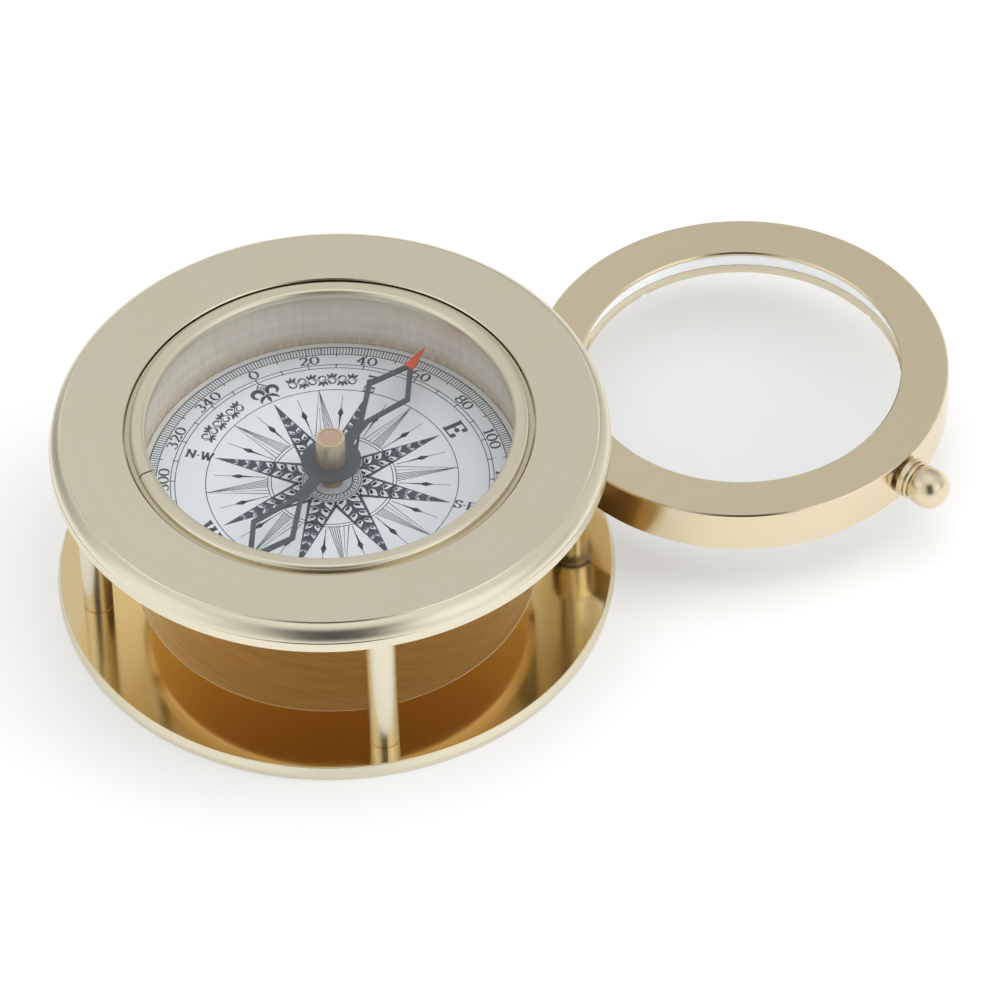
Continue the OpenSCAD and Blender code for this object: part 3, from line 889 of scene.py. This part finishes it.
def floor():
    """A wide pale table under the base."""
    n = Nodes("floor_white")
    grain = n.noise(n.position, 30.0, 3.0)
    n.principled(Base_Color=n.mix(grain, (0.55, 0.55, 0.55), (0.539, 0.539, 0.539)),
                 Roughness=n.blend(grain, 0.6, 0.65),
                 Emission_Color=(1.0, 1.0, 1.0), Emission_Strength=FLOOR_GLOW)
    size = 3.0
    corners = [(-size, -size), (size, -size), (size, size), (-size, size)]
    mesh = bpy.data.meshes.new("floor")
    mesh.from_pydata([(x, y, -FLOOR_DROP) for x, y in corners], [], [(0, 1, 2, 3)])
    mesh.materials.append(n.material)
    obj = bpy.data.objects.new("floor", mesh)
    bpy.context.scene.collection.objects.link(obj)


def softbox(name, place, width, height, power):
    """A rectangular lamp that shines at the base's centre."""
    light = bpy.data.lights.new(name, "AREA")
    light.shape = "RECTANGLE"
    light.size = width
    light.size_y = height
    light.energy = power
    obj = bpy.data.objects.new(name, light)
    obj.location = place
    obj.rotation_euler = (-Vector(place)).to_track_quat("-Z", "Y").to_euler()
    obj.visible_glossy = False    # the metal mirrors the sky's soft patches instead
    obj.visible_transmission = False
    bpy.context.scene.collection.objects.link(obj)


def toward(azimuth, elevation):
    """The direction at an azimuth round from -Y and an elevation, both in radians."""
    return (math.sin(azimuth) * math.cos(elevation), -math.cos(azimuth) * math.cos(elevation),
            math.sin(elevation))


def world():
    """A white horizon, a greyer upper sky, and soft bright and dark patches."""
    sky = bpy.data.worlds.new("studio")
    bpy.context.scene.world = sky
    n = Nodes("studio", sky)
    x, y, z = n.split()
    level = n.ramp(z, 0.05, 0.35, 1.0, 0.74)
    level = n.plus(level, n.ramp(z, 0.78, 1.0, 0.0, 0.25))
    for azimuth, elevation, inner, outer, gain in SKY_PATCHES:
        dot = n.add("ShaderNodeVectorMath", operation="DOT_PRODUCT")
        n.feed(dot.inputs[0], n.position)
        dot.inputs[1].default_value = toward(math.radians(azimuth), math.radians(elevation))
        outer_dot, inner_dot = math.cos(math.radians(outer)), math.cos(math.radians(inner))
        near = n.ramp(dot.outputs["Value"], outer_dot, inner_dot)
        level = n.plus(level, n.times(near, gain))
    side = n.plus(n.times(x, math.cos(AZIMUTH)), n.times(y, math.sin(AZIMUTH)))
    front = n.math("SUBTRACT", n.times(x, math.sin(AZIMUTH)), n.times(y, math.cos(AZIMUTH)))
    dark = n.ramp(n.math("ABSOLUTE", side), 0.16, 0.44, 1.0, 0.0)
    dark = n.times(dark, n.ramp(front, 0.35, 0.55))
    dark = n.times(dark, n.ramp(z, 0.04, 0.16))
    level = n.math("SUBTRACT", level, n.times(dark, FRONT_DARK))
    shade = n.add("ShaderNodeBackground")
    shade.inputs["Color"].default_value = (0.99, 0.995, 1.0, 1)
    n.feed(shade.inputs["Strength"], n.math("MAXIMUM", level, 0.04))
    n.tree.links.new(shade.outputs[0], n.out.inputs["Surface"])


def camera():
    """The photograph's viewpoint."""
    data = bpy.data.cameras.new("camera")
    data.sensor_width = SENSOR
    data.lens = FOCAL
    data.clip_start = 0.01
    obj = bpy.data.objects.new("camera", data)
    back = Vector(toward(AZIMUTH, ELEVATION))
    right = Vector((math.cos(AZIMUTH), math.sin(AZIMUTH), 0))
    up = back.cross(right)
    turned_right = right * math.cos(ROLL) + up * math.sin(ROLL)
    turned_up = up * math.cos(ROLL) - right * math.sin(ROLL)
    axes = Matrix((turned_right, turned_up, back)).transposed()
    obj.matrix_world = Matrix.Translation(TARGET + back * DISTANCE) @ axes.to_4x4()
    bpy.context.scene.collection.objects.link(obj)
    bpy.context.scene.camera = obj


def studio():
    """Camera, sky, table and three soft lamps."""
    camera()
    world()
    floor()
    softbox("overhead", (0.1, 0.1, 1.1), 1.2, 1.2, 7.0)
    softbox("left_key", (-0.9, -0.4, 0.7), 0.8, 0.8, 1.5)
    softbox("right_fill", (1.0, -0.2, 0.6), 0.6, 0.8, 5)
    bpy.context.scene.view_settings.view_transform = "Standard"


dress_cad()
printed_dial()
studio()
